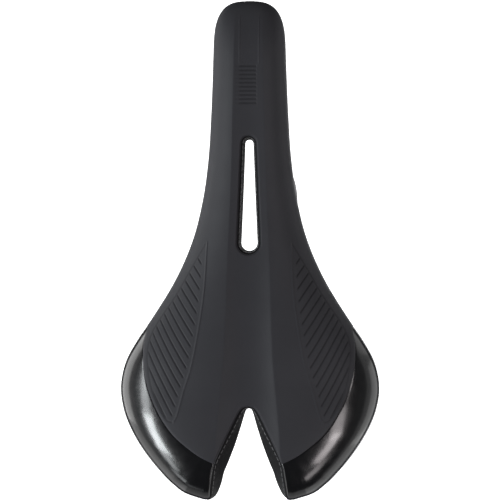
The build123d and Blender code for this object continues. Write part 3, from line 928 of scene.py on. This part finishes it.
MATERIALS = {
    "matte_cover": matte_cover_material(),
    "gloss_cover": gloss_cover_material(),
    "lining_fabric": lining_material(),
    "thread": thread_material(),
    "foam": foam_material(),
    "insert_gel": plastic_material("insert gel", (0.06, 0.06, 0.065), 900, 0.45),
    "shell_plastic": plastic_material("shell plastic", (0.016, 0.016, 0.017), 2600, 0.5),
    "socket_plastic": plastic_material("socket plastic", (0.024, 0.024, 0.025), 1800, 0.42),
    "screw_steel": screw_material(),
    "rail_metal": rail_material(),
}


def paint_cad_nodes():
    """Every CAD node that stays in view takes its slot's material."""
    slots = {part["node"]: part["material_slot"] for part in frame["record"]["subparts"]}
    for name, obj in frame["nodes"].items():
        obj.data.materials.clear()
        obj.data.materials.append(MATERIALS[slots[name]])


# ---------------------------------------------------------------------------
# Pieces
# ---------------------------------------------------------------------------
def make_covers():
    panels = build_cover()
    names = {
        "centre": ("cover_center", "matte_cover", ["cover_center_panel", "foam_padding",
                                                   "sitbone_insert_left", "sitbone_insert_right"]),
        "left": ("cover_gloss_wing_left", "gloss_cover", ["cover_wing_left"]),
        "right": ("cover_gloss_wing_right", "gloss_cover", ["cover_wing_right"]),
    }
    for key, (name, slot, nodes) in names.items():
        verts, faces = compact(*panels[key])
        obj = mesh_object(name, verts, faces)
        finish_piece(obj, MATERIALS[slot], slot, *nodes)


def make_openings():
    finish_piece(slot_lining(), MATERIALS["lining_fabric"], "lining_fabric", "slot_lining")
    finish_piece(notch_lining(), MATERIALS["lining_fabric"], "lining_fabric", "notch_lining")
    rows = [
        ("slot_stitches", round_slot(STITCH_STEPS), 0.19, 4, "slot_seam_stitching"),
        ("notch_stitches", along_notch(NOTCH_END - 0.35, STITCH_STEPS), 0.2, 9, "notch_seam_stitching"),
    ]
    for name, point_at, place, seed, cad_node in rows:
        row = stitch_row(name, *stitch_path(point_at, place), seed)
        finish_piece(row, MATERIALS["thread"], "thread", cad_node)


# ---------------------------------------------------------------------------
# Stage, light and camera
# ---------------------------------------------------------------------------
FLOOR_HALF, FLOOR_Z = 0.24, -0.35
COOL, PLAIN, WARM = (0.94, 0.98, 1.0), (1.0, 1.0, 1.0), (1.0, 0.94, 0.95)
LIGHT_TARGET = (0, 0, 0.03)
# Softboxes: name, turn from +X towards +Y and zenith from overhead in degrees, distance, size along
# the horizon and upwards in metres, radiance, color. Those with a zenith over 90 light the rim.
LIGHTS = [
    ("left strip", 193, 53, 1.2, (0.60, 0.28), 18.5, COOL),
    ("left strip front", 165, 56, 1.2, (0.34, 0.20), 8.0, COOL),
    ("left strip rear", 212, 61, 1.2, (0.34, 0.20), 5.5, COOL),
    ("left strip tail", 226, 71, 1.2, (0.25, 0.18), 3.5, COOL),
    ("left strip end", 243, 76, 1.2, (0.28, 0.14), 1.0, COOL),
    ("left fill", 185, 60, 1.3, (1.1, 0.5), 0.3, COOL),
    ("right strip", 0, 37, 1.1, (0.44, 0.26), 5.2, WARM),
    ("right strip core", -25, 39, 1.08, (0.36, 0.22), 8.5, WARM),
    ("right strip rear", -50, 50, 1.1, (0.35, 0.20), 4.0, WARM),
    ("right fill", 0, 72, 1.0, (1.2, 0.5), 0.08, PLAIN),
    ("front fill", 90, 62, 1.0, (0.9, 0.5), 0.9, PLAIN),
    ("left card", 180, 104, 0.43, (0.34, 0.26), 2.4, PLAIN),
    ("left wide card", 188, 97, 0.43, (0.75, 0.36), 0.5, PLAIN),
    ("left front card", 144, 103, 0.43, (0.24, 0.28), 1.1, PLAIN),
    ("left rear card", 222, 103, 0.43, (0.32, 0.28), 0.8, PLAIN),
    ("rear card", 270, 101, 0.43, (0.62, 0.28), 0.45, PLAIN),
    ("right card", -14, 105, 0.43, (0.36, 0.26), 1.0, PLAIN),
    ("right wide card", -10, 97, 0.43, (0.75, 0.36), 0.4, PLAIN),
    ("right front card", 34, 103, 0.43, (0.26, 0.28), 0.6, PLAIN),
    ("right rear card", -52, 103, 0.43, (0.32, 0.28), 0.7, PLAIN),
]


def aimed_light(name, turn, zenith, distance, size, radiance, color):
    turn, zenith = math.radians(turn), math.radians(zenith)
    level = math.sin(zenith)
    away = Vector((math.cos(turn) * level, math.sin(turn) * level, math.cos(zenith)))
    target = Vector(LIGHT_TARGET)
    place = target + away * distance
    data = bpy.data.lights.new(name, "AREA")
    data.shape = "RECTANGLE"
    data.size, data.size_y = size
    data.energy = radiance * math.pi * size[0] * size[1]
    data.color = color
    light = bpy.data.objects.new(name, data)
    light.location = place
    light.rotation_euler = (target - place).to_track_quat("-Z", "Y").to_euler()
    bpy.context.scene.collection.objects.link(light)


def make_stage():
    """The white plane below, the dim surroundings and the lights."""
    material, _, shader = new_material("white background", (0.8, 0.8, 0.8), 1.0)
    shader.inputs["Emission Color"].default_value = (1, 1, 1, 1)
    shader.inputs["Emission Strength"].default_value = 1.0
    half, low = FLOOR_HALF, FLOOR_Z
    corners = [(-half, -half, low), (half, -half, low), (half, half, low), (-half, half, low)]
    floor = mesh_object("background", corners, [(0, 1, 2, 3)], False)
    floor.data.materials.append(material)
    world = bpy.data.worlds.new("studio")
    bpy.context.scene.world = world
    world.use_nodes = True
    sky = world.node_tree.nodes["Background"]
    sky.inputs["Color"].default_value = (0.9, 0.93, 1.0, 1)
    sky.inputs["Strength"].default_value = 0.06
    for light in LIGHTS:
        aimed_light(*light)


CAMERA_DISTANCE = 2.2
CAMERA_SPAN = 0.2753         # what the picture's side covers at the widest outline
CAMERA_LEAN = 2.7            # degrees off straight above, towards +X


def make_camera():
    data = bpy.data.cameras.new("camera")
    camera = bpy.data.objects.new("camera", data)
    bpy.context.scene.collection.objects.link(camera)
    bpy.context.scene.camera = camera
    lean = math.radians(CAMERA_LEAN)
    target = Vector((0.0004, (NOSE_Y - LENGTH / 2) * MM, 0.034))
    away = Vector((math.sin(lean), 0, math.cos(lean)))
    camera.location = target + away * CAMERA_DISTANCE
    data.lens = data.sensor_width * CAMERA_DISTANCE / CAMERA_SPAN
    # the picture's top is the nose
    right = Vector((0, 1, 0)).cross(away).normalized()
    up = away.cross(right)
    camera.rotation_euler = Matrix([[right[i], up[i], away[i]] for i in range(3)]).to_euler()
    data.clip_start, data.clip_end = 0.1, 10


make_camera()
make_stage()
paint_cad_nodes()
make_covers()
make_openings()
bpy.context.scene.view_settings.view_transform = "Standard"
